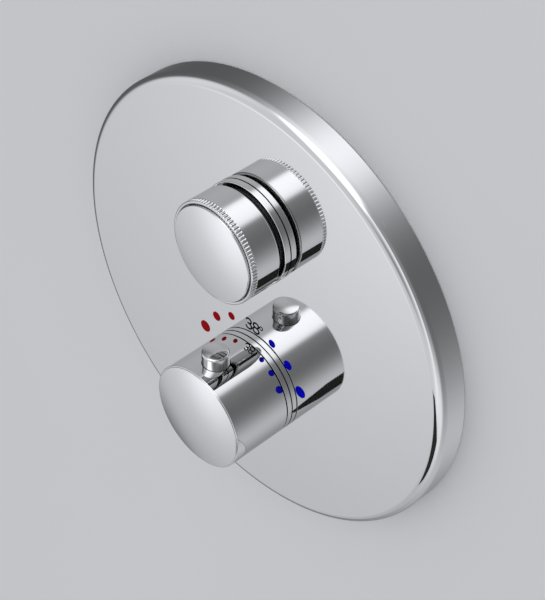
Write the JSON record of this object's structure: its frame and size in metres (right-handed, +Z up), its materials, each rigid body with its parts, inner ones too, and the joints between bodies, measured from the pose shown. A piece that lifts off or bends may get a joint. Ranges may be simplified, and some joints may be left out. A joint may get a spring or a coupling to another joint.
{
  "type": "bath mixer tap",
  "caption": "Concealed thermostatic bath and shower mixer: round chrome cover plate with a fluted flow knob, a smooth temperature knob with safety button, and in-wall body.",
  "frame": {"origin": "centre of the cover plate's rear rim, on the finished wall's surface", "axes": "+Z up, +Y into the wall, +X to the right for someone facing the wall; the cover plate faces -Y"},
  "size_m": [0.2, 0.1232, 0.2],
  "materials": {
    "chrome": "mirror-polished chrome plate",
    "brass": "turned and cast brass, satin",
    "steel": "stainless steel, drawn and turned",
    "zinc_plate": "zinc-plated pressed steel",
    "black_plastic": "moulded, fine matt",
    "grey_plastic": "moulded, satin",
    "ceramic": "lapped alumina ceramic, off-white",
    "rubber": "black rubber"
  },
  "bodies": {
    "mixer": {"cover_plate": "chrome", "plate_seal": "rubber", "flow_sleeve": "chrome", "flow_sleeve_ring": "rubber", "flow_stop_ring": "black_plastic", "diverter_nut": "brass", "diverter_housing": "grey_plastic", "diverter_fixed_disc": "ceramic", "diverter_seal": "rubber", "temp_sleeve": "chrome", "temp_sleeve_ring": "rubber", "temp_stop_ring": "black_plastic", "thermostat_nut": "brass", "thermostat_housing": "grey_plastic", "thermostat_housing_rings": "rubber", "thermostat_end_cap": "grey_plastic", "return_spring": "steel", "mixer_body": "brass", "channel_plugs": "brass", "check_valve_housings": "grey_plastic", "hot_check_spring": "steel", "cold_check_spring": "steel", "inlet_filters": "steel", "wall_bracket": "zinc_plate", "bracket_screws": "steel"},
    "flow_control": {"flow_knob": "chrome", "flow_knob_disc": "chrome", "flow_knob_screw": "steel", "flow_driver": "grey_plastic", "diverter_spindle": "brass", "diverter_spindle_rings": "rubber", "diverter_turning_disc": "ceramic"},
    "temp_control": {"temp_knob": "chrome", "temp_knob_disc": "chrome", "temp_knob_screw": "steel", "temp_driver": "grey_plastic", "thermostat_spindle": "brass", "thermostat_spindle_rings": "rubber", "button_spring": "steel"},
    "button": {"safety_button": "chrome", "button_catch": "steel"},
    "carrier": {"thermostat_carrier": "brass", "overload_spring": "steel", "overload_plunger": "steel"},
    "mixing_sleeve": {"thermostat_shuttle": "steel", "wax_element": "brass"},
    "hot_check": {"hot_check_poppet": "black_plastic"},
    "cold_check": {"cold_check_poppet": "black_plastic"}
  },
  "joints": [
    {"name": "flow_turn", "type": "hinge", "parent": "mixer", "child": "flow_control", "pos_m": [0, -0.02, 0.0395], "axis": [0, -1, 0], "range_deg": [-90, 90]},
    {"name": "temp_turn", "type": "hinge", "parent": "mixer", "child": "temp_control", "pos_m": [0, -0.02, -0.0395], "axis": [0, -1, 0], "range_deg": [-150, 60]},
    {"name": "button_press", "type": "slide", "parent": "temp_control", "child": "button", "axis": [0, 0, -1], "range_m": [0, 0.0025], "stiffness_N_per_m": 900, "springref_m": -0.002, "deforming": ["button_spring"]},
    {"name": "carrier_slide", "type": "slide", "parent": "mixer", "child": "carrier", "axis": [0, 1, 0], "range_m": [-0.00067, 0.00167]},
    {"name": "mixing_slide", "type": "slide", "parent": "mixer", "child": "mixing_sleeve", "axis": [0, 1, 0], "range_m": [-0.000283, 0.0007076], "deforming": ["return_spring"]},
    {"name": "hot_check_slide", "type": "slide", "parent": "mixer", "child": "hot_check", "axis": [1, 0, 0], "range_m": [0, 0.0025], "stiffness_N_per_m": 60, "springref_m": -0.003, "deforming": ["hot_check_spring"]},
    {"name": "cold_check_slide", "type": "slide", "parent": "mixer", "child": "cold_check", "axis": [-1, 0, 0], "range_m": [0, 0.0025], "stiffness_N_per_m": 60, "springref_m": -0.003, "deforming": ["cold_check_spring"]}
  ],
  "couplings": [
    {"joint": "carrier_slide", "follows": "temp_turn", "m_per_rad": -0.00063662},
    {"joint": "mixing_slide", "follows": "temp_turn", "m_per_rad": -0.00027}
  ]
}
